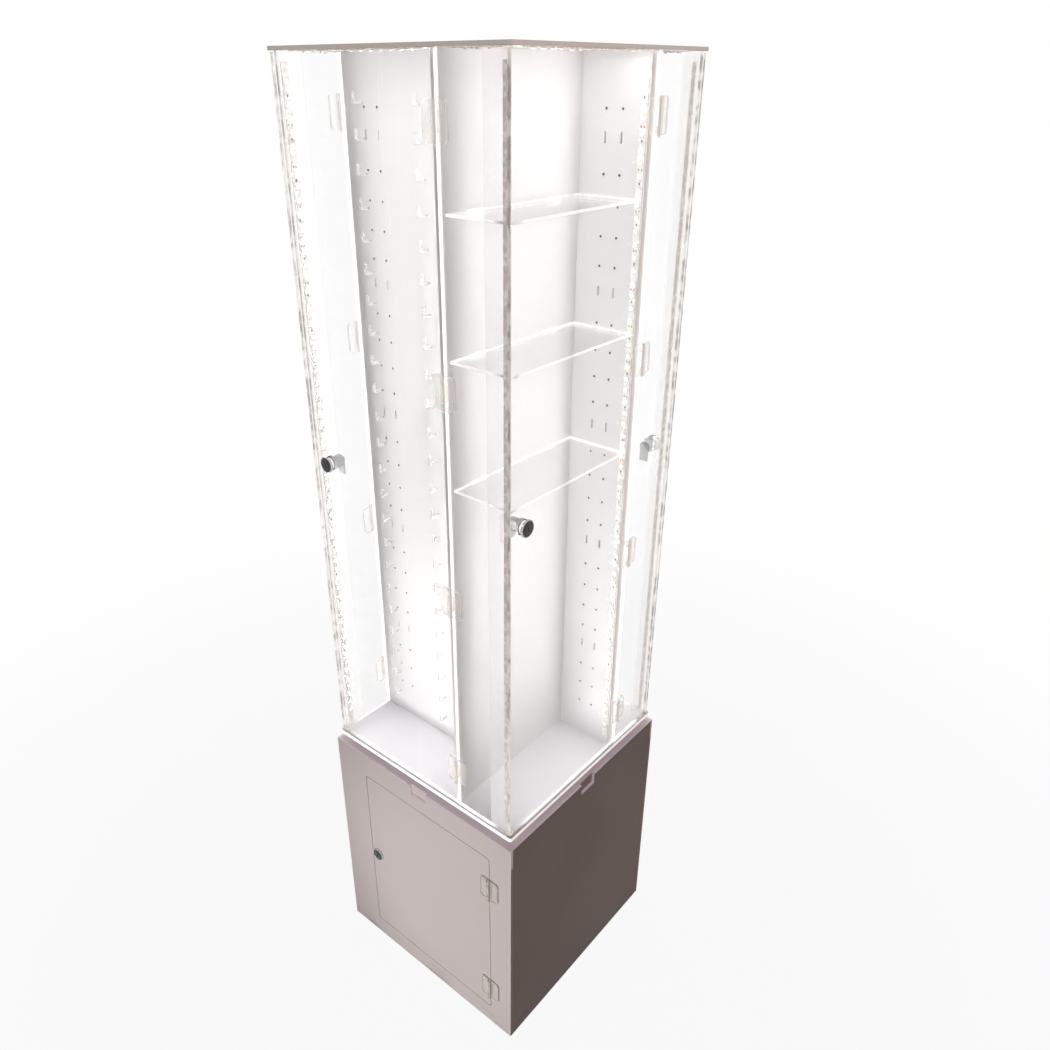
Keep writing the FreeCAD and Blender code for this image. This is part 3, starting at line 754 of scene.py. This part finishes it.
for side, turn in quarter_turns:
    for run_name, room, matrix in tape_runs:
        lay_tape(run_name + side, room, turn @ matrix)
for spare in (chip, resistor, pad, tape_pattern):
    bpy.data.objects.remove(spare)


# Light from the tapes
# The chips are drawn bright but light nothing by themselves. A thin lamp in front of each upright tape and
# each long roof tape gives the light that the real chips throw over the white walls and deck.
lamp_powers = {"corner_lights_": 0.87, "wall_lights_": 0.87, "roof_lights_": 0.06}
lamp_colour = (1.0, 0.992, 0.985)
lamp_gap = 3.0 * mm
lamp_width = 6.0 * mm
lamp_inset = 62.0 * mm


def tape_lamp(name, length, power, matrix):
    """A thin lamp along a tape, shining the way that the tape faces."""
    lamp = bpy.data.lights.new(name, "AREA")
    lamp.shape = "RECTANGLE"
    lamp.size = length
    lamp.size_y = lamp_width
    lamp.energy = power
    lamp.color = lamp_colour
    shown = bpy.data.objects.new(name, lamp)
    bpy.context.collection.objects.link(shown)
    middle = Matrix.Translation((lamp_inset + length / 2, 0, lamp_gap))
    shown.matrix_world = matrix @ middle @ Matrix.Rotation(math.pi, 4, "X")
    shown.visible_camera = False
    shown.visible_glossy = False
    shown.visible_transmission = False


for side, turn in quarter_turns:
    for run_name, room, matrix in tape_runs:
        if run_name in lamp_powers:
            tape_lamp("lamp_" + run_name + side, room - lamp_inset, lamp_powers[run_name], turn @ matrix)


# Floor, studio lamps and camera
# A plain pale floor runs out into a white background. A key spot lights the cabinet's front and another the
# shelves; soft lamps give a weak warm fill from the right, and light from above and from behind.
floor_size = 30.0
floor_near = 0.5
floor_far = 2.2
floor_tone = (108, 91, 82)
floor_step = 4
fleck_scale = 40.0
floor_white = 0.94
sky_level = 0.008


def seen_directly(finish):
    """1 where the camera sees this itself, mirrored or through glass, and 0 for the light that it gives."""
    rays = [finish.add("ShaderNodeLightPath", out=ray)
            for ray in ("Is Camera Ray", "Is Glossy Ray", "Is Transmission Ray")]
    return rays[0].most(rays[1]).most(rays[2])


floor_finish = Finish(bpy.data.materials.new("pale_floor"))
away = floor_finish.add("ShaderNodeVectorMath", {"operation": "LENGTH"}, {0: floor_finish.place()}, "Value")
fleck = floor_finish.noise(fleck_scale, 3.0)
flecked = floor_finish.blend(fleck, tone(floor_tone), tone(darker(floor_tone, floor_step)))
floor_finish.shine(Base_Color=flecked, Roughness=0.7 + 0.1 * fleck)
white = floor_finish.add("ShaderNodeEmission", None, {"Color": (1, 1, 1, 1), "Strength": 1.0})
fading = floor_finish.fade(away, floor_near, floor_far)
whiteness = seen_directly(floor_finish) * (floor_white + (1 - floor_white) * fading)
floor_finish.show(whiteness, floor_finish.own(), white)

bpy.ops.object.select_all(action="DESELECT")
bpy.ops.mesh.primitive_plane_add(size=floor_size, location=(0, 0, 0))
floor = bpy.context.object
floor.name = "floor"
floor.data.materials.append(floor_finish.holder)

scene = bpy.context.scene
scene.world = bpy.data.worlds.new("studio")
sky = Finish(scene.world, "Background")
sky_strength = sky_level + (1.0 - sky_level) * seen_directly(sky)
sky.wire(sky.shader, {"Color": (1, 1, 1, 1), "Strength": sky_strength})

soft_lamp_side = 1.4
spot_fade = 0.6
spot_radius = 0.25


def stand(lamp, place, target, power, colour):
    """Stands a lamp somewhere, turned to a point of the object. Neither camera nor mirrors see it."""
    lamp.energy = power
    lamp.color = colour
    shown = bpy.data.objects.new(lamp.name, lamp)
    bpy.context.collection.objects.link(shown)
    shown.location = place
    shown.rotation_euler = (Vector(target) - Vector(place)).to_track_quat("-Z", "Y").to_euler()
    shown.visible_camera = False
    shown.visible_glossy = False


def soft_lamp(name):
    """A large square lamp."""
    lamp = bpy.data.lights.new(name, "AREA")
    lamp.shape = "SQUARE"
    lamp.size = soft_lamp_side
    return lamp


def spot(name, cone):
    """A soft spot, for one part of the object only."""
    lamp = bpy.data.lights.new(name, "SPOT")
    lamp.spot_size = math.radians(cone)
    lamp.spot_blend = spot_fade
    lamp.shadow_soft_size = spot_radius
    return lamp


stand(soft_lamp("fill"), place=(2.8, -0.4, 1.2), target=(0, 0, 0.6), power=5.2, colour=(1.0, 0.62, 0.53))
stand(soft_lamp("top"), place=(-0.5, 0.6, 3.6), target=(0, 0, 0.5), power=36.0, colour=(1.0, 0.99, 0.98))
stand(soft_lamp("back"), place=(-2.2, 2.2, 1.4), target=(0, 0, 0.3), power=42.0, colour=(1.0, 0.98, 0.97))
stand(spot("key", cone=32), place=(-0.15, -2.1, 0.2), target=(0.1, -0.2, 0.24),
      power=124.0, colour=(1.0, 0.975, 0.995))
stand(spot("shelf_light", cone=28), place=(2.4, -0.9, 1.2), target=(0.08, -0.06, 1.2),
      power=29.0, colour=(1.0, 0.985, 0.99))

camera_place = (0.8230, -0.9445, 1.5157)
camera_down = math.radians(27.079)
camera_turn = math.radians(40.129)
camera = bpy.data.objects.new("camera", bpy.data.cameras.new("camera"))
bpy.context.collection.objects.link(camera)
camera.location = camera_place
camera.rotation_euler = Euler((math.pi / 2 - camera_down, 0, camera_turn))
camera.data.lens = 30.142
camera.data.sensor_width = 36.0
camera.data.shift_x = 0.01583
camera.data.shift_y = -0.00407
camera.data.clip_start = 0.01
scene.camera = camera

clear_layers = 40
wall_bounces = 8
scene.view_settings.view_transform = "Standard"
scene.cycles.transparent_max_bounces = clear_layers
scene.cycles.diffuse_bounces = wall_bounces
